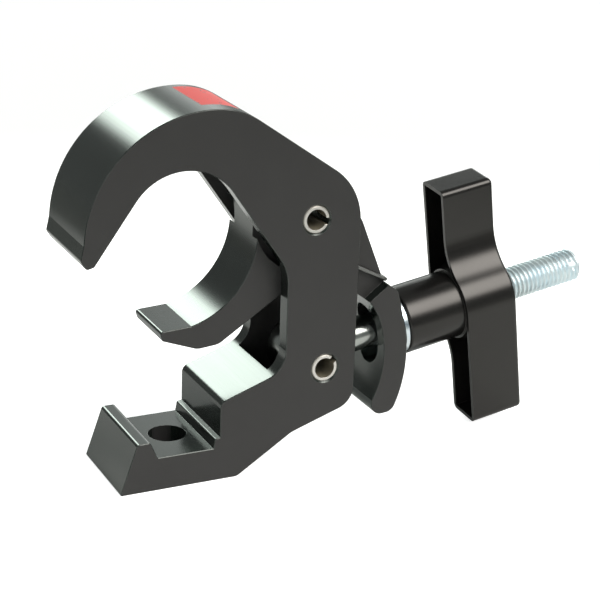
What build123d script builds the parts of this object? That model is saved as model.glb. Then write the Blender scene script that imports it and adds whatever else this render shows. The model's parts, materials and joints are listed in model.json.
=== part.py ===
from build123d import *
from math import cos, radians, sin, tan
import os

# Quick-trigger pipe clamp for a 48-51 mm tube: a hook-shaped body, a pivoting jaw that a spring
# closes, and a swing bolt with a T-knob that locks it.
# Units are millimetres. The origin is the centre of the gripped tube, midway between the sawn faces.
# The tube lies along Y, +Z points up towards the crown of the hook, and +X points to the knob.

# --- driving dimensions -------------------------------------------------------------------
BODY_WIDTH = 29.0
SLOT_WIDTH = 20.0
EDGE_BREAK = 0.2                         # deburred edges of the sawn faces
JAW_WIDTH = 19.5
NECK_WIDTH = 12.5

PIVOT_X, PIVOT_Z = 39.0, 13.5            # jaw pivot
ANCHOR_X, ANCHOR_Z = 43.2, -31.1         # swing bolt pivot
PIN_RADIUS = 4.0
PIN_WALL = 1.0
PIN_GAP = 1.9
PIN_LENGTH = 28.6
PIN_CHAMFER = 0.25
RUNNING_CLEARANCE = 0.05
HOLE_CHAMFER = 0.5
THROUGH = 1.0                            # how far a through cut passes beyond each face

# hook bore: two flats 55 degrees from horizontal, joined by a crown arc
CROWN_RADIUS = 16.8
CROWN_Z = 14.3
FLAT_ANGLE = 55.0
SPINE_X = 30.8
REAR_X = 52.7
BASE_Z = -60.25
FLOOR_Z = -50.4
BASE_HOLE_X = 1.0
BASE_HOLE_RADIUS = 5.5
LIP_Z = -45.5
SLOT_START_X = 26.9                      # where the slot breaks through the ledge
SLOT_FLOOR_Z = -41.3
SLOT_REAR_X = 58.0

# jaw
SEAT_X, SEAT_Z = -2.1, 10.0
SEAT_RADIUS = 25.5
SEAT_START, SEAT_END = -76.0, 45.0
ISLAND_RADIUS = 6.8
POCKET_RADIUS = 16.5
PAD_X, PAD_Z, PAD_RADIUS = 32.8, -33.0, 39.6
PAD_TOP, PAD_BOTTOM = 14.0, -26.0        # the pad's outer arc, as angles about its centre
PAD_DEPTH = 22.0
PAD_SLOT_WIDTH = 11.6
PAD_SLOT_LOW, PAD_SLOT_HIGH = -37.5, -19.0

# swing bolt, washer and knob, as distances along the bolt from its pivot
BOLT_ANGLE = 9.75
BOLT_RADIUS = 5.0
BOLT_TIP = 93.1
TIP_CHAMFER = 1.1
EYE_RADIUS = 9.2
EYE_WIDTH = 12.0
EYE_ROUND = 1.2
SPACER_RADIUS = 6.5
SPACER_GAP = 0.075
WASHER_START = 29.15
WASHER_THICKNESS = 1.5
WASHER_RADIUS = 9.6
WASHER_CLEARANCE = 0.25
BARREL_START = 30.7
HANDLE_START = 49.0
HANDLE_END = 66.0
BARREL_RADIUS = 10.2
HUB_RADIUS = 11.5
KNOB_BORE_RADIUS = 5.3
HANDLE_ROUND = 1.3
BARREL_ROUND = 0.7
WING_REACH = 36.5
WING_STEP = 0.5
WING_FILLET = 14.0
WALL = 1.2
BOSS_RIM_RADIUS = 10.8
BOSS_FOOT_RADIUS = 16.5
KNOB_CLOCK = 3.8
CORNER_RADIUS = 1.8                      # ends of the wings
INSERT_RADIUS = 7.5
INSERT_LENGTH = 22.0

# jaw spring
WIRE_RADIUS = 0.6
COIL_RADIUS = 7.9
LEG_ANGLE = -118.0                       # where the jaw leg leaves the coil
STOP_ANGLE = 81.0                        # where the body leg leaves the coil
LEG_LENGTH = 34.8
STOP_LENGTH = 9.6
COIL_INNER_Y = 6.95
COIL_OUTER_Y = 9.15
COIL_ARCS = 8
TAIL_BEND = 1.5                          # centre-line radius where each jaw leg turns into the bar

os.makedirs("parts", exist_ok=True)


def nearest(shape, x, z):
    """The profile vertex closest to a point."""
    return shape.vertices().sort_by_distance(Vector(x, z, 0))[0]


def polar(x, z, radius, angle):
    """A point on a circle, as profile coordinates."""
    return (x + radius * cos(radians(angle)), z + radius * sin(radians(angle)))


def round_corners(sketch, radius, *corners):
    """Rounds the profile's corners nearest to the given points, one at a time."""
    for corner in corners:
        fillet(nearest(sketch, *corner), radius)


# --- clamp body: a slice of a hook-shaped aluminium extrusion ------------------------------
crown_left = polar(0, CROWN_Z, CROWN_RADIUS, 90 + FLAT_ANGLE)
crown_right = polar(0, CROWN_Z, CROWN_RADIUS, 90 - FLAT_ANGLE)
flat_foot_z = crown_right[1] - (SPINE_X - crown_right[0]) * tan(radians(FLAT_ANGLE))

with BuildPart() as clamp_body:
    with BuildSketch(Plane.XZ) as body_profile:
        with BuildLine():
            Line((-25.4, 7.4), crown_left)
            ThreePointArc(crown_left, (0, CROWN_Z + CROWN_RADIUS), crown_right)
            Polyline(
                crown_right,
                (SPINE_X, flat_foot_z),
                (SPINE_X, -29.8),
                (11.2, -36.8),
                (11.2, -47.3),
                (9.7, -47.6),
                (9.2, FLOOR_Z),
                (-7.4, FLOOR_Z),
                (-9.6, LIP_Z),
                (-13.4, LIP_Z),
                (-18.5, BASE_Z),
                (16.6, BASE_Z),
                (33.4, -49.4),
                (REAR_X, -42.8),
                (REAR_X, 21.5),
                (21.1, 43.1),
            )
            RadiusArc((21.1, 43.1), (8.0, 47.15), -23.0)
            ThreePointArc((8.0, 47.15), (-19.5, 35.0), (-28.3, 13.5))
            Polyline((-28.3, 13.5), (-29.2, 9.4), (-27.6, 6.8), (-25.4, 7.4))
        make_face()
        round_corners(body_profile, 19, (REAR_X, 21.5))
        round_corners(body_profile, 13, (SPINE_X, flat_foot_z))
        round_corners(body_profile, 8, (SPINE_X, -29.8))
        round_corners(body_profile, 6.5, (REAR_X, -42.8))
        round_corners(body_profile, 5, (33.4, -49.4))
        round_corners(body_profile, 3, (16.6, BASE_Z))
        round_corners(body_profile, 2.6, (11.2, -36.8))
        round_corners(body_profile, 1.1, (-9.6, LIP_Z), (-13.4, LIP_Z), (-29.2, 9.4), (-27.6, 6.8))
        round_corners(body_profile, 0.5, (-25.4, 7.4), (-18.5, BASE_Z), (-7.4, FLOOR_Z), (9.7, -47.6))
    extrude(amount=BODY_WIDTH / 2, both=True)
    chamfer(clamp_body.faces().filter_by(Axis.Y).edges(), EDGE_BREAK)
    # slot through the spine for the jaw and the swing bolt
    with BuildSketch(Plane.XZ):
        with BuildLine():
            ThreePointArc((4.0, 30.3), (34.0, 26.2), (SLOT_REAR_X, 17.0))
            Polyline(
                (SLOT_REAR_X, 17.0),
                (SLOT_REAR_X, SLOT_FLOOR_Z),
                (33.0, SLOT_FLOOR_Z),
                (SLOT_START_X + 1.0, -37.0),
                (SLOT_START_X, -28.0),
                (4.0, -28.0),
                (4.0, 30.3),
            )
        make_face()
    extrude(amount=SLOT_WIDTH / 2, both=True, mode=Mode.SUBTRACT)
    # pivot pin holes, chamfered at both sawn faces
    with Locations(
        Plane(origin=(PIVOT_X, 0, PIVOT_Z), z_dir=(0, 1, 0)),
        Plane(origin=(ANCHOR_X, 0, ANCHOR_Z), z_dir=(0, 1, 0)),
    ):
        Cylinder(PIN_RADIUS, BODY_WIDTH + 2 * THROUGH, mode=Mode.SUBTRACT)
    circles = clamp_body.edges().filter_by(GeomType.CIRCLE)
    rims = circles.filter_by(lambda e: abs(e.radius - PIN_RADIUS) < 0.01)
    chamfer(rims.group_by(Axis.Y)[0] + rims.group_by(Axis.Y)[-1], HOLE_CHAMFER)
    # fixing hole in the base
    with Locations((BASE_HOLE_X, 0, (BASE_Z + FLOOR_Z) / 2)):
        Cylinder(BASE_HOLE_RADIUS, FLOOR_Z - BASE_Z + 2 * THROUGH, mode=Mode.SUBTRACT)

# --- jaw: tube seat, neck with the pivot boss, and a crescent thrust pad -------------------
seat_low = polar(SEAT_X, SEAT_Z, SEAT_RADIUS, SEAT_START)
seat_mid = polar(SEAT_X, SEAT_Z, SEAT_RADIUS, (SEAT_START + SEAT_END) / 2)
seat_high = polar(SEAT_X, SEAT_Z, SEAT_RADIUS, SEAT_END)
pad_top = polar(PAD_X, PAD_Z, PAD_RADIUS, PAD_TOP)
pad_bottom = polar(PAD_X, PAD_Z, PAD_RADIUS, PAD_BOTTOM)

with BuildPart() as jaw:
    with BuildSketch(Plane.XZ) as jaw_profile:
        with BuildLine():
            Polyline((-4.4, -18.0), (-5.2, -15.3), seat_low)
            ThreePointArc(seat_low, seat_mid, seat_high)
            Polyline(
                seat_high,
                (27.5, 23.5),
                (39.0, 22.6),
                (46.3, 19.2),
                (57.0, 10.2),
                (65.4, -10.5),
                (68.6, -12.6),
                pad_top,
            )
            ThreePointArc(pad_top, (PAD_X + PAD_RADIUS, PAD_Z), pad_bottom)
            Polyline(pad_bottom, (61.3, -51.0), (61.5, -46.0))
            ThreePointArc((61.5, -46.0), (64.8, -32.5), (62.3, -19.5))
            Polyline(
                (62.3, -19.5),
                (59.6, -15.2),
                (46.0, -5.0),
                (34.0, -6.8),
                (12.4, -21.2),
                (6.0, -21.8),
                (-4.4, -18.0),
            )
        make_face()
        round_corners(jaw_profile, 9, (57.0, 10.2), (39.0, 22.6), (46.3, 19.2))
        round_corners(jaw_profile, 8, (46.0, -5.0), (34.0, -6.8))
        round_corners(jaw_profile, 5, (12.4, -21.2), (6.0, -21.8))
        round_corners(jaw_profile, 3.4, pad_bottom, (61.3, -51.0))
        round_corners(jaw_profile, 2, seat_high)
        round_corners(jaw_profile, 1, (65.4, -10.5), (68.6, -12.6), (59.6, -15.2))
        round_corners(jaw_profile, 0.8, (-4.4, -18.0), (-5.2, -15.3))
    extrude(amount=JAW_WIDTH / 2, both=True)
    chamfer(jaw.faces().filter_by(Axis.Y).edges(), EDGE_BREAK)
    # side pockets leave a narrow neck, with a full-width island round the pivot
    for side in (-1, 1):
        with BuildSketch(Plane.XZ.offset(side * NECK_WIDTH / 2)):
            with Locations((PIVOT_X, PIVOT_Z)):
                Circle(POCKET_RADIUS)
            with BuildLine():
                Polyline((20, 36), (62, 36), (80, 1), (52.9, -19.9), (30, 2), (20, 36))
            make_face()
            with Locations((PIVOT_X, PIVOT_Z)):
                Circle(ISLAND_RADIUS, mode=Mode.SUBTRACT)
        extrude(amount=side * (JAW_WIDTH - NECK_WIDTH) / 2, mode=Mode.SUBTRACT)
    # pivot hole
    with Locations(Plane(origin=(PIVOT_X, 0, PIVOT_Z), z_dir=(0, 1, 0))):
        Cylinder(PIN_RADIUS + RUNNING_CLEARANCE, JAW_WIDTH + 2 * THROUGH, mode=Mode.SUBTRACT)
    # oblong hole in the pad for the bolt
    with BuildSketch(Plane.YZ.offset(REAR_X)):
        with Locations((0, (PAD_SLOT_LOW + PAD_SLOT_HIGH) / 2)):
            SlotOverall(PAD_SLOT_HIGH - PAD_SLOT_LOW, PAD_SLOT_WIDTH, rotation=90)
    extrude(amount=PAD_DEPTH, mode=Mode.SUBTRACT)


# --- slotted spring pins -------------------------------------------------------------------
def spring_pin(x, z, gap_angle):
    """A rolled steel pin along Y with its gap facing gap_angle in the XZ plane."""
    with BuildPart() as pin:
        with BuildSketch(Plane.XZ):
            with Locations((x, z)):
                Circle(PIN_RADIUS)
                Circle(PIN_RADIUS - PIN_WALL, mode=Mode.SUBTRACT)
            with Locations(polar(x, z, PIN_RADIUS, gap_angle)):
                Rectangle(4 * PIN_WALL, PIN_GAP, rotation=gap_angle, mode=Mode.SUBTRACT)
        extrude(amount=PIN_LENGTH / 2, both=True)
        ends = pin.edges().filter_by(GeomType.CIRCLE).filter_by(lambda e: e.radius > PIN_RADIUS - 0.1)
        chamfer(ends, PIN_CHAMFER)
    return pin


jaw_pivot_pin = spring_pin(PIVOT_X, PIVOT_Z, -12)
bolt_pivot_pin = spring_pin(ANCHOR_X, ANCHOR_Z, 40)

# --- swing bolt ----------------------------------------------------------------------------
bolt_axis = Vector(cos(radians(BOLT_ANGLE)), 0, sin(radians(BOLT_ANGLE)))
bolt_plane = Plane(origin=(ANCHOR_X, 0, ANCHOR_Z), x_dir=(0, 1, 0), z_dir=bolt_axis)
anchor_plane = Plane(origin=(ANCHOR_X, 0, ANCHOR_Z), z_dir=(0, 1, 0))

with BuildPart() as swing_bolt:
    with BuildSketch(bolt_plane):
        Circle(BOLT_RADIUS)
    extrude(amount=BOLT_TIP)
    chamfer(swing_bolt.faces().sort_by(Axis(bolt_plane.origin, bolt_axis))[-1].edges(), TIP_CHAMFER)
    with Locations(anchor_plane):
        Cylinder(EYE_RADIUS, EYE_WIDTH)
    circles = swing_bolt.edges().filter_by(GeomType.CIRCLE)
    fillet(circles.filter_by(lambda e: e.radius > EYE_RADIUS - 0.1), EYE_ROUND)
    with Locations(anchor_plane):
        Cylinder(PIN_RADIUS + RUNNING_CLEARANCE, EYE_WIDTH + 2 * THROUGH, mode=Mode.SUBTRACT)

with BuildPart() as bolt_eye_spacers:
    spacer_length = (SLOT_WIDTH - EYE_WIDTH) / 2 - 2 * SPACER_GAP
    with BuildSketch(Plane.XZ.offset(EYE_WIDTH / 2 + SPACER_GAP)):
        with Locations((ANCHOR_X, ANCHOR_Z)):
            Circle(SPACER_RADIUS)
            Circle(PIN_RADIUS, mode=Mode.SUBTRACT)
    extrude(amount=spacer_length)
    mirror(about=Plane.XZ)

with BuildPart() as thrust_washer:
    with BuildSketch(bolt_plane.offset(WASHER_START)):
        Circle(WASHER_RADIUS)
        Circle(BOLT_RADIUS + WASHER_CLEARANCE, mode=Mode.SUBTRACT)
    extrude(amount=WASHER_THICKNESS)
    circles = thrust_washer.edges().filter_by(GeomType.CIRCLE)
    chamfer(circles.filter_by(lambda e: e.radius > WASHER_RADIUS - 0.1), EDGE_BREAK)

# --- T-knob: barrel, hub and two offset hollow wings ---------------------------------------
wing_dir = (
    Vector(-sin(radians(BOLT_ANGLE)), 0, cos(radians(BOLT_ANGLE))) * cos(radians(KNOB_CLOCK))
    + Vector(0, -1, 0) * sin(radians(KNOB_CLOCK))
)
knob_plane = Plane(origin=(ANCHOR_X, 0, ANCHOR_Z), x_dir=wing_dir, z_dir=bolt_axis)


def handle_outline(sketch, inset):
    """The S-shaped handle outline, pulled in by inset: one wing each side of a round hub."""
    reach = WING_REACH - inset
    low = HUB_RADIUS - inset
    step = WING_STEP - inset
    Circle(low)
    with Locations((reach / 2, (step - low) / 2)):
        Rectangle(reach, low + step)
    with Locations((-reach / 2, (low - step) / 2)):
        Rectangle(reach, low + step)
    foot = (low**2 - step**2) ** 0.5
    fillet(nearest(sketch, foot, step), WING_FILLET + inset)
    fillet(nearest(sketch, -foot, -step), WING_FILLET + inset)


with BuildPart() as knob:
    with BuildSketch(knob_plane.offset(HANDLE_START)) as outline:
        handle_outline(outline, 0)
        for side in (-1, 1):
            fillet(nearest(outline, side * WING_REACH, -side * HUB_RADIUS), CORNER_RADIUS)
            fillet(nearest(outline, side * WING_REACH, side * WING_STEP), CORNER_RADIUS)
    extrude(amount=HANDLE_END - HANDLE_START)
    fillet(knob.faces().sort_by(Axis(bolt_plane.origin, bolt_axis))[-1].edges(), HANDLE_ROUND)
    # the wings are hollow towards the clamp, round a boss that widens with depth
    depth = HANDLE_END - HANDLE_START - WALL
    with BuildSketch(knob_plane.offset(HANDLE_START), mode=Mode.PRIVATE) as hollow:
        handle_outline(hollow, WALL)
    with Locations(knob_plane.offset(HANDLE_START + depth / 2)):
        boss = Cone(BOSS_RIM_RADIUS, BOSS_FOOT_RADIUS, depth, mode=Mode.PRIVATE)
    add(extrude(hollow.sketch, amount=depth, mode=Mode.PRIVATE) - boss, mode=Mode.SUBTRACT)
    with BuildSketch(knob_plane.offset(BARREL_START)):
        Circle(BARREL_RADIUS)
    extrude(amount=HANDLE_START - BARREL_START + 1)
    fillet(knob.faces().sort_by(Axis(bolt_plane.origin, bolt_axis))[0].edges(), BARREL_ROUND)
    with BuildSketch(knob_plane.offset(BARREL_START)):
        Circle(KNOB_BORE_RADIUS)
    extrude(amount=HANDLE_END - BARREL_START, mode=Mode.SUBTRACT)
    with BuildSketch(knob_plane.offset(BARREL_START)):
        Circle(INSERT_RADIUS)
    extrude(amount=INSERT_LENGTH, mode=Mode.SUBTRACT)

with BuildPart() as knob_insert:
    with BuildSketch(knob_plane.offset(BARREL_START)):
        Circle(INSERT_RADIUS)
        Circle(BOLT_RADIUS + RUNNING_CLEARANCE, mode=Mode.SUBTRACT)
    extrude(amount=INSERT_LENGTH)

# --- jaw spring: one wire, a coil on each side of the neck, a bar across the jaw's tail ----
coil_sweep = (LEG_ANGLE - STOP_ANGLE) % 360 + 360
arc_angle = coil_sweep / COIL_ARCS
arc_rise = (COIL_OUTER_Y - COIL_INNER_Y) / COIL_ARCS
arc_reach = 4 / 3 * tan(radians(arc_angle) / 4) * COIL_RADIUS


def coil_joint(i):
    """Joint i between the coil's arcs and the handle of the curve there, which stays level at both ends."""
    angle = STOP_ANGLE + arc_angle * i
    x, z = polar(PIVOT_X, PIVOT_Z, COIL_RADIUS, angle)
    rise = arc_rise / 3 if 0 < i < COIL_ARCS else 0
    handle = Vector(-sin(radians(angle)) * arc_reach, rise, cos(radians(angle)) * arc_reach)
    return Vector(x, -COIL_OUTER_Y + arc_rise * i, z), handle


coil_start, start_handle = coil_joint(0)
coil_end, end_handle = coil_joint(COIL_ARCS)
stop_dir = -start_handle.normalized()
leg_dir = end_handle.normalized()
inward = Vector(0, 1, 0)
bend_start = coil_end + leg_dir * (LEG_LENGTH - TAIL_BEND)
bend_centre = bend_start + inward * TAIL_BEND
bend_mid = bend_centre + (leg_dir - inward).normalized() * TAIL_BEND
bend_end = bend_centre + leg_dir * TAIL_BEND

with BuildPart() as jaw_spring:
    with BuildLine() as wire:
        Line(coil_start + stop_dir * STOP_LENGTH, coil_start)
        for i in range(COIL_ARCS):
            here, here_handle = coil_joint(i)
            there, there_handle = coil_joint(i + 1)
            Bezier(here, here + here_handle, there - there_handle, there)
        Line(coil_end, bend_start)
        ThreePointArc(bend_start, bend_mid, bend_end)
        Line(bend_end, Vector(bend_end.X, 0, bend_end.Z))
    with BuildSketch(Plane(origin=wire.line @ 0, z_dir=wire.line % 0)):
        Circle(WIRE_RADIUS)
    sweep(is_frenet=False)
    mirror(about=Plane.XZ)

# --- labels and files ----------------------------------------------------------------------
for name, piece in {
    "clamp_body": clamp_body,
    "jaw": jaw,
    "jaw_pivot_pin": jaw_pivot_pin,
    "bolt_pivot_pin": bolt_pivot_pin,
    "jaw_spring": jaw_spring,
    "swing_bolt": swing_bolt,
    "bolt_eye_spacers": bolt_eye_spacers,
    "thrust_washer": thrust_washer,
    "knob": knob,
    "knob_insert": knob_insert,
}.items():
    piece.part.label = name
    export_step(piece.part, f"parts/{name}.step")
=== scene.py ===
import json
from math import cos, pi, radians, sin

import bmesh
import bpy
from mathutils import Matrix, Vector


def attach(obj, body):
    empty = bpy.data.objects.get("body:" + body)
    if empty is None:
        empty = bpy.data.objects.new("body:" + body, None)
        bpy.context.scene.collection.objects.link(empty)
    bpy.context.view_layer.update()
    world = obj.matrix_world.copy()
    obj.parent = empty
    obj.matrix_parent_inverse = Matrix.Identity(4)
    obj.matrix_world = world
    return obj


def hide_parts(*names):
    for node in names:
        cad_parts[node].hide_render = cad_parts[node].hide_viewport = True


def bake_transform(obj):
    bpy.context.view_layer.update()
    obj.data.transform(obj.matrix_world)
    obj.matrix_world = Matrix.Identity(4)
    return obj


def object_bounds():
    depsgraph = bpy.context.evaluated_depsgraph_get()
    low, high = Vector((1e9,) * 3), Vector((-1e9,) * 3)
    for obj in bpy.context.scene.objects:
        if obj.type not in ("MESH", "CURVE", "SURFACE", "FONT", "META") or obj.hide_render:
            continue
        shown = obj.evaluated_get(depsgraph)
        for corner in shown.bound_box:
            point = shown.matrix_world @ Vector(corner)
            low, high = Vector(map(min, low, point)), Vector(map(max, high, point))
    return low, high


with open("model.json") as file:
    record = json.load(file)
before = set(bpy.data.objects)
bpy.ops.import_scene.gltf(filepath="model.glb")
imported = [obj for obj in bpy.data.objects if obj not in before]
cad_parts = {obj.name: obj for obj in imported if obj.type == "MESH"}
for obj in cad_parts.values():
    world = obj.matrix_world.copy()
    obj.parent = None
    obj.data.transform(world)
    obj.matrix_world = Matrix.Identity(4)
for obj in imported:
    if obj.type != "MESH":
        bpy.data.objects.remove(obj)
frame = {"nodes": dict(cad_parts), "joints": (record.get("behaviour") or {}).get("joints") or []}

# Looks for a black pipe clamp: anodised extrusions, zinc-plated steel and a gloss moulded knob,
# on a pale floor among soft panels of light. Lengths are metres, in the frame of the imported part.

MM = 0.001
CAD_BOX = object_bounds()
NODES = frame["nodes"]
JOINTS = {joint["name"]: joint for joint in frame["joints"]}
JAW_PIVOT = Vector(JOINTS["jaw_pivot"]["pos_m"])
BOLT_PIVOT = Vector(JOINTS["bolt_swing"]["pos_m"])
BOLT_AXIS = Vector(JOINTS["knob_travel"]["axis"]).normalized()
ACROSS = Vector((0, -1, 0))                   # towards the front sawn face
BOLT_UP = BOLT_AXIS.cross(ACROSS)             # in the clamp's mid-plane, square to the bolt
if BOLT_UP.z < 0:
    BOLT_UP.negate()


# --- node helpers ---------------------------------------------------------------------------
BEVEL_SAMPLES = 6


class Graph:
    """A node tree under construction. Methods return output sockets."""

    def __init__(self, tree):
        self.nodes = tree.nodes
        self.links = tree.links
        self.nodes.clear()

    def feed(self, socket, value):
        """Links a socket into an input, or sets the input to a number or a colour."""
        if isinstance(value, bpy.types.NodeSocket):
            self.links.new(value, socket)
        elif hasattr(socket.default_value, "__len__") and isinstance(value, (tuple, list)):
            length = len(socket.default_value)
            socket.default_value = (tuple(value) + (1.0,))[:length]
        else:
            socket.default_value = value

    def math(self, operation, a, b=0.0):
        node = self.nodes.new("ShaderNodeMath")
        node.operation = operation
        self.feed(node.inputs[0], a)
        self.feed(node.inputs[1], b)
        return node.outputs[0]

    def step(self, value, low, high):
        """0 below low, 1 above high, smooth in between."""
        node = self.nodes.new("ShaderNodeMapRange")
        node.interpolation_type = "SMOOTHSTEP"
        for name, number in (("Value", value), ("From Min", low), ("From Max", high)):
            self.feed(node.inputs[name], number)
        return node.outputs[0]

    def between(self, value, low, high, edge):
        """1 between low and high, falling to 0 over edge on each side."""
        rise = self.step(value, low - edge, low + edge)
        fall = self.step(value, high - edge, high + edge)
        return self.math("SUBTRACT", rise, fall)

    def lerp(self, factor, a, b):
        """Number a where the factor is 0, b where it is 1."""
        node = self.nodes.new("ShaderNodeMix")
        node.data_type = "FLOAT"
        for index, value in ((0, factor), (2, a), (3, b)):
            self.feed(node.inputs[index], value)
        return node.outputs[0]

    def blend(self, factor, a, b):
        """Colour a where the factor is 0, b where it is 1."""
        node = self.nodes.new("ShaderNodeMix")
        node.data_type = "RGBA"
        for index, value in ((0, factor), (6, a), (7, b)):
            self.feed(node.inputs[index], value)
        return node.outputs[2]

    def noise(self, vector, scale=1.0, detail=3.0, roughness=0.55):
        """Soft noise from 0 to 1. The scale is in cells per metre."""
        node = self.nodes.new("ShaderNodeTexNoise")
        self.feed(node.inputs["Vector"], vector)
        node.inputs["Scale"].default_value = scale
        node.inputs["Detail"].default_value = detail
        node.inputs["Roughness"].default_value = roughness
        return node.outputs[0]

    def axis(self, vector, name):
        node = self.nodes.new("ShaderNodeSeparateXYZ")
        self.feed(node.inputs[0], vector)
        return node.outputs[name]

    def dot(self, a, b):
        node = self.nodes.new("ShaderNodeVectorMath")
        node.operation = "DOT_PRODUCT"
        self.feed(node.inputs[0], a)
        self.feed(node.inputs[1], b)
        return node.outputs["Value"]

    def sum(self, *values):
        total = values[0]
        for value in values[1:]:
            total = self.math("ADD", total, value)
        return total

    def product(self, *values):
        total = values[0]
        for value in values[1:]:
            total = self.math("MULTIPLY", total, value)
        return total

    def glow(self, colour, strength):
        """A background shader of a world."""
        node = self.nodes.new("ShaderNodeBackground")
        self.feed(node.inputs["Color"], colour)
        self.feed(node.inputs["Strength"], strength)
        return node.outputs[0]

    def add_shaders(self, first, second):
        node = self.nodes.new("ShaderNodeAddShader")
        self.links.new(first, node.inputs[0])
        self.links.new(second, node.inputs[1])
        return node.outputs[0]

    def split_camera(self, unseen, seen):
        """One shader for light and reflections, another where the camera looks straight at it."""
        node = self.nodes.new("ShaderNodeMixShader")
        path = self.nodes.new("ShaderNodeLightPath")
        self.links.new(path.outputs["Is Camera Ray"], node.inputs[0])
        self.links.new(unseen, node.inputs[1])
        self.links.new(seen, node.inputs[2])
        return node.outputs[0]


class Shader(Graph):
    """A material built round one Principled shader."""

    def __init__(self, name):
        self.material = bpy.data.materials.new(name)
        self.material.use_nodes = True
        super().__init__(self.material.node_tree)
        self.principled = self.nodes.new("ShaderNodeBsdfPrincipled")
        self.output = self.nodes.new("ShaderNodeOutputMaterial")
        self.links.new(self.principled.outputs[0], self.output.inputs[0])
        self.place = self.nodes.new("ShaderNodeTexCoord").outputs["Object"]
        self.geometry = self.nodes.new("ShaderNodeNewGeometry")

    def set(self, **values):
        """Feeds the Principled inputs, named with underscores for spaces."""
        for name, value in values.items():
            self.feed(self.principled.inputs[name.replace("_", " ")], value)

    def scaled(self, x, y, z):
        """Object coordinates stretched by a factor on each axis."""
        node = self.nodes.new("ShaderNodeVectorMath")
        node.operation = "MULTIPLY"
        self.feed(node.inputs[0], self.place)
        node.inputs[1].default_value = (x, y, z)
        return node.outputs[0]

    def bevel(self, radius):
        """The normal, rounded over edges to a radius."""
        node = self.nodes.new("ShaderNodeBevel")
        node.samples = BEVEL_SAMPLES
        node.inputs["Radius"].default_value = radius
        return node.outputs[0]

    def edges(self, radius, low=0.03, high=0.25):
        """1 on outer and inner edges, 0 on open faces."""
        alike = self.dot(self.bevel(radius), self.geometry.outputs["Normal"])
        return self.step(self.math("SUBTRACT", 1.0, alike), low, high)

    def bump(self, height, distance, strength, normal=None):
        """The normal, tilted by a height that spans a distance in metres."""
        node = self.nodes.new("ShaderNodeBump")
        node.inputs["Strength"].default_value = strength
        node.inputs["Distance"].default_value = distance
        self.feed(node.inputs["Height"], height)
        if normal is not None:
            self.feed(node.inputs["Normal"], normal)
        return node.outputs[0]


# --- materials ------------------------------------------------------------------------------
# noise scales are in cells per metre, so 1000 gives features of about a millimetre
FINE_GRAIN = 2400
CLOUD = 260                                   # patches of plating, some millimetres across
PASSIVATION = 110                             # broader drifts of the plate's tint
SAWN_FACING = (0.80, 0.95)                    # share of the normal along Y where sawn takes over
SAWN_COLOUR = (0.028, 0.028, 0.028)
EXTRUDED_COLOUR = (0.009, 0.012, 0.0105)
WORN_COLOUR = (0.30, 0.31, 0.30)
PATCH_COLOUR = (0.62, 0.035, 0.030)
PATCH_X = (6.5 * MM, 17.5 * MM)
PATCH_Y = (-9.0 * MM, 12.0 * MM)
PATCH_LOW_Z = 44.0 * MM
PATCH_BORDER = 0.3 * MM
PATCH_ROUGHNESS = 0.55
# painted shade: up to this distance the bolt's eye and plain shank are coloured darker, for the shade
# inside the jaw's slot
SHADED_EYE_END = 20.0 * MM                        # along the bolt from its pivot
SHADED_EYE_FADE = 6.0 * MM


def tone(colour, factor):
    """A colour made darker or lighter."""
    return tuple(factor * channel for channel in colour)


def black_aluminium(name, patch=False):
    """Anodised extrusion: satin sawn faces square to Y, glossier drawn faces with die lines along Y."""
    s = Shader(name)
    facing = s.math("ABSOLUTE", s.axis(s.geometry.outputs["True Normal"], "Y"))
    sawn = s.step(facing, *SAWN_FACING)
    grain = s.noise(s.place, scale=5200, detail=2)
    cloud = s.noise(s.place, scale=70, detail=4)
    saw_marks = s.noise(s.scaled(2600, 40, 120), detail=2)
    die_lines = s.noise(s.scaled(1700, 12, 1700), detail=3, roughness=0.7)
    broad_lines = s.noise(s.scaled(260, 5, 260), detail=2)
    rubbed = s.step(s.noise(s.place, scale=420), 0.38, 0.62)
    wear = s.product(s.edges(0.35 * MM), rubbed)

    sawn_tone = s.blend(cloud, tone(SAWN_COLOUR, 0.90), tone(SAWN_COLOUR, 1.12))
    drawn_tone = s.blend(broad_lines, tone(EXTRUDED_COLOUR, 0.8), tone(EXTRUDED_COLOUR, 1.3))
    colour = s.blend(sawn, drawn_tone, sawn_tone)
    rough = s.lerp(sawn, s.lerp(die_lines, 0.16, 0.24), s.lerp(saw_marks, 0.42, 0.52))
    if patch:
        x, y, z = (s.axis(s.place, letter) for letter in "XYZ")
        chips = s.step(s.noise(s.place, scale=700), 0.30, 0.38)
        inside = s.product(s.between(x, *PATCH_X, PATCH_BORDER), s.between(y, *PATCH_Y, PATCH_BORDER),
                           s.step(z, PATCH_LOW_Z, PATCH_LOW_Z + MM), s.math("SUBTRACT", 1.0, sawn), chips)
        colour = s.blend(inside, colour, PATCH_COLOUR)
        rough = s.lerp(inside, rough, PATCH_ROUGHNESS)
    colour = s.blend(s.product(wear, 0.55), colour, WORN_COLOUR)
    height = s.lerp(sawn, s.sum(die_lines, s.product(broad_lines, 2.0)), s.sum(saw_marks, grain))
    s.set(Base_Color=colour, Roughness=s.sum(rough, s.product(wear, 0.1)),
          IOR=s.lerp(sawn, 1.62, 1.43), Metallic=s.product(wear, 0.5),
          Specular_Tint=s.blend(sawn, (0.93, 1.0, 0.95), (1.0, 0.99, 0.97)),
          Normal=s.bump(height, 0.0035 * MM, 0.6, s.bevel(0.15 * MM)))
    return s.material


def passivated(s, plate, blue, yellow):
    """A plate colour with drifts of blue and a little yellow."""
    tint = s.noise(s.place, scale=PASSIVATION, detail=2)
    colour = s.blend(s.step(tint, 0.40, 0.64), plate, blue)
    return s.blend(s.step(tint, 0.60, 0.75), colour, yellow)


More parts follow.
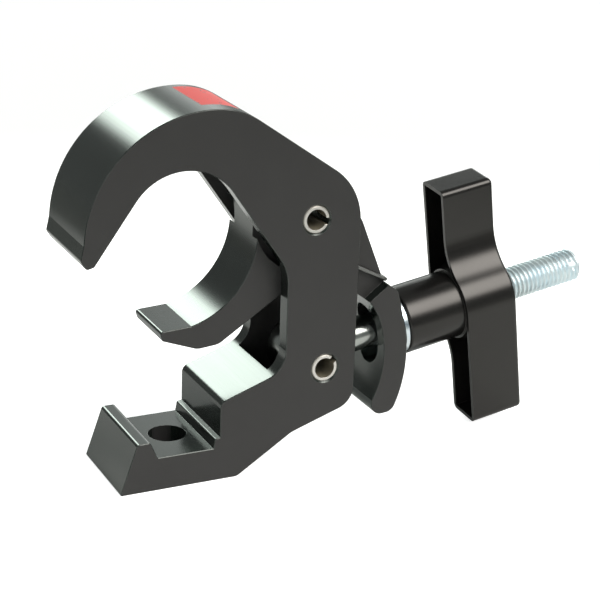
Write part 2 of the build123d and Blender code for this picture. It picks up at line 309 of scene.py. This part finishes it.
def zinc(name, lathe=None):
    """Bright zinc plate with faint blue passivation; lathe gives a direction for turning marks."""
    s = Shader(name)
    cloud = s.noise(s.place, scale=CLOUD, detail=4)
    colour = passivated(s, (0.74, 0.80, 0.83), (0.62, 0.74, 0.84), (0.80, 0.78, 0.66))
    colour = s.blend(s.product(s.edges(0.2 * MM), 0.4), colour, (0.9, 0.92, 0.92))
    if lathe is None:
        marks = s.noise(s.place, scale=FINE_GRAIN)
    else:
        marks = s.noise(s.scaled(*lathe), detail=2)
    s.set(Base_Color=colour, Metallic=1.0, Roughness=s.lerp(cloud, 0.16, 0.30),
          Normal=s.bump(marks, 0.003 * MM, 0.5, s.bevel(0.1 * MM)))
    return s.material


def bolt_zinc(name):
    """Plated bolt: glossy eye and plain shank darkened by painted shade, pale matt plate on the rolled
    thread.
    """
    s = Shader(name)
    reach = s.math("SUBTRACT", s.dot(s.place, tuple(BOLT_AXIS)), BOLT_PIVOT.dot(BOLT_AXIS))
    # 0 on the eye and plain shank, which carry painted shade, 1 on the rolled thread
    rolled = s.step(reach, SHADED_EYE_END, SHADED_EYE_END + SHADED_EYE_FADE)
    cloud = s.noise(s.place, scale=CLOUD, detail=4)
    marks = s.noise(s.place, scale=FINE_GRAIN)
    plate = passivated(s, (0.80, 0.89, 0.91), (0.70, 0.83, 0.89), (0.86, 0.86, 0.78))
    # painted shade: darker colour on the eye and plain shank, for the shade inside the jaw's slot
    shaded_eye_colour = s.blend(cloud, (0.30, 0.32, 0.31), (0.46, 0.48, 0.46))
    rough = s.lerp(rolled, s.lerp(cloud, 0.14, 0.24), s.lerp(cloud, 0.36, 0.46))
    s.set(Base_Color=s.blend(rolled, shaded_eye_colour, plate), Metallic=s.lerp(rolled, 1.0, 0.78), Roughness=rough,
          Normal=s.bump(marks, 0.003 * MM, 0.5, s.bevel(0.1 * MM)))
    return s.material


def pin_steel(name):
    """Rolled spring pin: dull brown bore and skin, with bright ground ends."""
    s = Shader(name)
    facing = s.math("ABSOLUTE", s.axis(s.geometry.outputs["True Normal"], "Y"))
    ground = s.step(facing, 0.6, 0.8)
    grain = s.noise(s.place, scale=FINE_GRAIN)
    film = s.noise(s.place, scale=350)
    skin = s.blend(film, (0.155, 0.140, 0.100), (0.225, 0.200, 0.150))
    bright = s.blend(film, (0.62, 0.60, 0.56), (0.80, 0.78, 0.74))
    s.set(Base_Color=s.blend(ground, skin, bright), Metallic=s.lerp(ground, 0.15, 1.0),
          Roughness=s.lerp(grain, 0.30, 0.45),
          Normal=s.bump(grain, 0.004 * MM, 0.5, s.bevel(0.12 * MM)))
    return s.material


def spring_steel(name):
    """Drawn wire: fine scratches and a thin oil-dark film."""
    s = Shader(name)
    streaks = s.noise(s.scaled(2400, 2400, 900), detail=3)
    cloud = s.noise(s.place, scale=300)
    s.set(Base_Color=s.blend(cloud, (0.15, 0.155, 0.15), (0.26, 0.265, 0.255)), Metallic=1.0,
          Roughness=s.lerp(streaks, 0.24, 0.40), Normal=s.bump(streaks, 0.002 * MM, 0.5))
    return s.material


def black_nylon(name):
    """Matt moulded nylon, paler where its edges are rubbed."""
    s = Shader(name)
    grain = s.noise(s.place, scale=3000)
    colour = s.blend(s.edges(0.2 * MM), (0.018, 0.018, 0.018), (0.05, 0.05, 0.05))
    s.set(Base_Color=colour, Roughness=s.lerp(grain, 0.5, 0.65), Normal=s.bump(grain, 0.006 * MM, 0.6))
    return s.material


def gloss_plastic(name):
    """Moulded black plastic: near-mirror skin with slight ripple, rubbed a little duller on its edges."""
    s = Shader(name)
    ripple = s.noise(s.place, scale=160, detail=2)
    skin = s.noise(s.place, scale=1800)
    smears = s.noise(s.scaled(90, 90, 260), detail=4)
    rubbed = s.edges(0.5 * MM, 0.02, 0.2)
    colour = s.blend(s.product(rubbed, 0.5), (0.0075, 0.0073, 0.0070), (0.04, 0.038, 0.036))
    rough = s.sum(s.lerp(smears, 0.17, 0.27), s.product(rubbed, 0.06))
    fine = s.bump(skin, 0.0012 * MM, 0.5, s.bevel(0.25 * MM))
    s.set(Base_Color=colour, Roughness=rough, IOR=1.48, Specular_Tint=(1.0, 0.97, 0.93),
          Normal=s.bump(ripple, 0.004 * MM, 0.5, fine))
    return s.material


def paint(obj, material):
    """Gives an object one material in place of those it has."""
    obj.data.materials.clear()
    obj.data.materials.append(material)


# --- threaded swing bolt --------------------------------------------------------------------
# distances along the bolt are from its pivot
PITCH = 1.5 * MM
BOLT_RADIUS = 5.0 * MM
ROOT_RADIUS = 4.25 * MM
ROD_START = 6.5 * MM                          # inside the eye
THREAD_START = 24.0 * MM
RUNOUT = 3.0 * MM
TIP_RADIUS = 4.05 * MM                        # at the end face, inside a 45 degree chamfer
EYE_RADIUS = 9.2 * MM
EYE_HALF_WIDTH = 6.0 * MM
EYE_ROUND = 1.2 * MM
EYE_BORE = 4.05 * MM
BORE_CHAMFER = 0.3 * MM
# two dents that keep the knob from being wound off the tip
STAKE_SIDES = (0.12 * pi, 1.12 * pi)
STAKE_FROM_TIP = 2.6 * MM
STAKE_SIZE = (1.5 * MM, 0.30)                 # half length, half angle in radians
STAKE_DEPTH = 0.55 * MM
MERGE_DISTANCE = 0.004 * MM
SLIVER_LENGTH = 0.003 * MM
# thread form over one pitch: share of the pitch, share of the depth
THREAD_FORM = ((0.0, 0.0), (0.09, 0.08), (0.30, 0.62), (0.44, 1.0), (0.56, 1.0), (0.70, 0.62), (0.91, 0.08))


def smooth(value, low, high):
    """0 below low, 1 above high, smooth in between."""
    t = min(1.0, max(0.0, (value - low) / (high - low)))
    return t * t * (3 - 2 * t)


def bolt_point(along, radius, angle):
    """A point on the bolt: distance from its pivot, radius, and angle from the front side."""
    return BOLT_PIVOT + BOLT_AXIS * along + (ACROSS * cos(angle) + BOLT_UP * sin(angle)) * radius


def mesh_object(name, bm):
    """Turns a finished bmesh into an object of the scene."""
    mesh = bpy.data.meshes.new(name)
    bm.to_mesh(mesh)
    bm.free()
    obj = bpy.data.objects.new(name, mesh)
    bpy.context.scene.collection.objects.link(obj)
    return obj


def thread_radius(along, depth, angle, tip):
    """Radius at a point of the thread: runs out into the plain shank, chamfered and staked at the tip."""
    depth *= smooth(along, THREAD_START, THREAD_START + RUNOUT)
    radius = BOLT_RADIUS - (BOLT_RADIUS - ROOT_RADIUS) * depth
    for side in STAKE_SIDES:
        turn = (angle - side + pi) % (2 * pi) - pi
        reach = ((along - tip + STAKE_FROM_TIP) / STAKE_SIZE[0]) ** 2 + (turn / STAKE_SIZE[1]) ** 2
        press = 1.0 - smooth(reach, 0.7, 1.3)
        radius += (BOLT_RADIUS - STAKE_DEPTH - radius) * press
    return min(radius, TIP_RADIUS + tip - along, BOLT_RADIUS)


def threaded_rod(start, tip, columns=64):
    """Closed rod with a right-hand helical thread. Its rows follow the helix and end level."""
    bm = bmesh.new()
    turns = int((tip - start) / PITCH) + 3
    rows = []
    for turn in range(-1, turns):
        for share, depth in THREAD_FORM:
            row = []
            for column in range(columns + 1):
                wind = column / columns
                along = start + (turn + share + wind) * PITCH
                kept = min(tip, max(start, along))
                angle = -2 * pi * wind
                row.append(bm.verts.new(bolt_point(kept, thread_radius(kept, depth, angle, tip), angle)))
            rows.append(row)
    for low, high in zip(rows, rows[1:]):
        for column in range(columns):
            bm.faces.new((low[column], low[column + 1], high[column + 1], high[column]))
    bmesh.ops.remove_doubles(bm, verts=bm.verts, dist=MERGE_DISTANCE)
    bmesh.ops.dissolve_degenerate(bm, edges=bm.edges, dist=SLIVER_LENGTH)
    ends = [edge for edge in bm.edges if len(edge.link_faces) == 1]
    bmesh.ops.holes_fill(bm, edges=ends, sides=0)
    bmesh.ops.recalc_face_normals(bm, faces=bm.faces)
    return mesh_object("rod_blank", bm)


def bolt_eye(columns=96, round_steps=5):
    """Solid ring about the swing pivot, with rounded outer edges."""
    chamfer_radius = EYE_BORE + BORE_CHAMFER
    chamfer_side = EYE_HALF_WIDTH - BORE_CHAMFER
    outline = [(EYE_BORE, -chamfer_side), (chamfer_radius, -EYE_HALF_WIDTH)]
    for sign in (-1, 1):
        for step in range(round_steps + 1):
            turn = pi / 2 * step / round_steps
            if sign > 0:
                turn = pi / 2 - turn
            outline.append((EYE_RADIUS - EYE_ROUND * (1 - sin(turn)),
                            sign * (EYE_HALF_WIDTH - EYE_ROUND * (1 - cos(turn)))))
    outline += [(chamfer_radius, EYE_HALF_WIDTH), (EYE_BORE, chamfer_side)]
    bm = bmesh.new()
    rings = []
    for column in range(columns):
        angle = 2 * pi * column / columns
        out = BOLT_AXIS * cos(angle) + BOLT_UP * sin(angle)
        rings.append([bm.verts.new(BOLT_PIVOT + out * radius + ACROSS * side) for radius, side in outline])
    for ring, after in zip(rings, rings[1:] + rings[:1]):
        for this in range(len(outline)):
            following = (this + 1) % len(outline)
            bm.faces.new((ring[this], ring[following], after[following], after[this]))
    bmesh.ops.recalc_face_normals(bm, faces=bm.faces)
    return mesh_object("eye_blank", bm)


def join_solids(name, first, second):
    """One clean solid from two overlapping ones."""
    union = first.modifiers.new("join", "BOOLEAN")
    union.operation = "UNION"
    union.solver = "EXACT"
    union.object = second
    graph = bpy.context.evaluated_depsgraph_get()
    mesh = bpy.data.meshes.new_from_object(first.evaluated_get(graph))
    joined = bpy.data.objects.new(name, mesh)
    bpy.context.scene.collection.objects.link(joined)
    for blank in (first, second):
        bpy.data.objects.remove(blank)
    return joined


def shade(obj, degrees):
    """Smooth shading with hard edges where faces meet at more than the angle."""
    mesh = obj.data
    for face in mesh.polygons:
        face.use_smooth = True
    mesh.set_sharp_from_angle(angle=radians(degrees))


def make_bolt():
    """The swing bolt with a real thread, as long as the CAD one."""
    reach = max((v.co - BOLT_PIVOT).dot(BOLT_AXIS) for v in NODES["swing_bolt"].data.vertices)
    bolt = join_solids("threaded_swing_bolt", bolt_eye(), threaded_rod(ROD_START, reach))
    shade(bolt, 40)
    paint(bolt, bolt_zinc("zinc_bolt"))
    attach(bolt, "bolt")
    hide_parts("swing_bolt")


def make_spring():
    """A copy of the CAD spring wire in spring steel, with its transform baked into the mesh."""
    spring = bpy.data.objects.new("spring_wire", NODES["jaw_spring"].data.copy())
    bpy.context.scene.collection.objects.link(spring)
    paint(spring, spring_steel("spring_wire_steel"))
    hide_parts("jaw_spring")
    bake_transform(spring)


# --- studio ---------------------------------------------------------------------------------
CAMERA_AZIMUTH = radians(-26.22)
CAMERA_ELEVATION = radians(20.23)
CAMERA_ROLL = radians(1.96)
CAMERA_DISTANCE = 506.1 * MM
CAMERA_LENS = 108.0                           # focal length on a sensor as wide as below
SENSOR_WIDTH = 36.0
CLIP_START = 10.0 * MM
AIM_RIGHT, AIM_UP = 1.546 * MM, -26.64 * MM   # aim point from the jaw pivot, in the picture's axes


def make_camera():
    """The camera looks a little down on the front sawn face, with the picture rolled slightly."""
    azimuth, elevation = CAMERA_AZIMUTH, CAMERA_ELEVATION
    back = Vector((sin(azimuth) * cos(elevation), -cos(azimuth) * cos(elevation), sin(elevation)))
    level = Vector((cos(azimuth), sin(azimuth), 0))
    rise = back.cross(level)
    right = level * cos(CAMERA_ROLL) + rise * sin(CAMERA_ROLL)
    up = rise * cos(CAMERA_ROLL) - level * sin(CAMERA_ROLL)
    data = bpy.data.cameras.new("camera")
    data.lens = CAMERA_LENS
    data.sensor_width = SENSOR_WIDTH
    data.clip_start = CLIP_START
    camera = bpy.data.objects.new("camera", data)
    bpy.context.scene.collection.objects.link(camera)
    rotation = Matrix((right, up, back)).transposed().to_4x4()
    place = JAW_PIVOT + right * AIM_RIGHT + up * AIM_UP + back * CAMERA_DISTANCE
    camera.matrix_world = Matrix.Translation(place) @ rotation
    bpy.context.scene.camera = camera


# soft panels of the studio, seen in reflections: direction, half width and half height as
# tangents, softness of the border, brightness and colour
PANELS = (
    ((-0.012, 0.86, 0.50), 0.170, 0.14, 0.06, 10.5, (0.90, 1.0, 0.93)),
    ((0.42, -0.58, 0.70), 0.38, 0.32, 0.16, 8.0, (1.0, 0.97, 0.93)),
    ((-0.75, -0.60, 0.30), 0.40, 0.40, 0.30, 0.8, (1.0, 1.0, 1.0)),
    ((0.50, 0.80, 0.30), 0.22, 0.16, 0.12, 1.7, (0.95, 1.0, 0.97)),
    ((0.75, 0.64, 0.12), 0.26, 0.18, 0.12, 4.0, (1.0, 1.0, 0.98)),
)
ROOM_GLOW = 0.24
ROOM_COLOUR = (0.95, 1.0, 0.97)
PANEL_CUT = (0.2, 0.3)                        # cosines between which a panel's light begins
SHALLOWEST = 0.05                             # smallest cosine divided by
WHITE = (1.0, 1.0, 1.0)
FLOOR_HALF = 3.0
FLOOR_GLOW = 0.75
FLOOR_FADE = (0.18, 0.38)                     # distances where the painted pool of light on the floor fades into painted shade
# painted light and shade: the floor's colour near the clamp and far from it
FLOOR_LIT_POOL = (0.86, 0.87, 0.865)
FLOOR_SHADED_FAR = (0.16, 0.165, 0.16)


def panel_light(g, direction, heading, half_width, half_height, soft):
    """1 where a view direction meets the panel, 0 elsewhere."""
    heading = Vector(heading).normalized()
    right = heading.cross(Vector((0, 0, 1))).normalized()
    up = right.cross(heading)
    depth = g.math("MAXIMUM", g.dot(direction, tuple(heading)), SHALLOWEST)
    across = g.math("DIVIDE", g.dot(direction, tuple(right)), depth)
    rise = g.math("DIVIDE", g.dot(direction, tuple(up)), depth)
    wide = g.between(across, -half_width, half_width, soft)
    tall = g.between(rise, -half_height, half_height, soft)
    return g.product(wide, tall, g.step(depth, *PANEL_CUT))


def make_world():
    """White where the camera sees it; a dim room with soft panels for light and reflections."""
    world = bpy.data.worlds.new("studio")
    bpy.context.scene.world = world
    world.use_nodes = True
    g = Graph(world.node_tree)
    direction = g.nodes.new("ShaderNodeTexCoord").outputs["Generated"]
    light = g.glow(ROOM_COLOUR, ROOM_GLOW)
    for heading, half_width, half_height, soft, brightness, colour in PANELS:
        lit = panel_light(g, direction, heading, half_width, half_height, soft)
        light = g.add_shaders(light, g.glow(colour, g.product(lit, brightness)))
    output = g.nodes.new("ShaderNodeOutputWorld")
    g.links.new(g.split_camera(light, g.glow(WHITE, 1.0)), output.inputs[0])


def make_floor():
    """A pale floor under the base with a painted pool of light near the clamp and painted shade further
    out, lifted to white for the camera.
    """
    height = CAD_BOX[0].z
    bm = bmesh.new()
    corners = ((-1, -1), (1, -1), (1, 1), (-1, 1))
    bm.faces.new([bm.verts.new((x * FLOOR_HALF, y * FLOOR_HALF, height)) for x, y in corners])
    floor = mesh_object("floor", bm)
    s = Shader("pale_floor")
    x, y = s.axis(s.place, "X"), s.axis(s.place, "Y")
    away = s.math("SQRT", s.sum(s.product(x, x), s.product(y, y)))
    # painted light: the floor's colour is pale near the clamp and painted dark further out
    s.set(Base_Color=s.blend(s.step(away, *FLOOR_FADE), FLOOR_LIT_POOL, FLOOR_SHADED_FAR), Roughness=0.6,
          Specular_IOR_Level=0.15)
    glow = s.nodes.new("ShaderNodeEmission")
    s.feed(glow.inputs["Color"], WHITE)
    s.feed(glow.inputs["Strength"], FLOOR_GLOW)
    matt = s.principled.outputs[0]
    s.links.new(s.split_camera(matt, s.add_shaders(matt, glow.outputs[0])), s.output.inputs[0])
    paint(floor, s.material)


def make_studio():
    make_world()
    make_floor()
    bpy.context.scene.view_settings.view_transform = "Standard"


# --- build ----------------------------------------------------------------------------------
paint(NODES["clamp_body"], black_aluminium("anodised_body", patch=True))
paint(NODES["jaw"], black_aluminium("anodised_jaw"))
paint(NODES["jaw_pivot_pin"], pin_steel("pin_steel_upper"))
paint(NODES["bolt_pivot_pin"], pin_steel("pin_steel_lower"))
paint(NODES["bolt_eye_spacers"], black_nylon("nylon_spacers"))
paint(NODES["thrust_washer"], zinc("zinc_washer", lathe=(2600, 300, 300)))
paint(NODES["knob"], gloss_plastic("moulded_knob"))
paint(NODES["knob_insert"], zinc("zinc_insert"))
make_bolt()
make_spring()
make_studio()
make_camera()
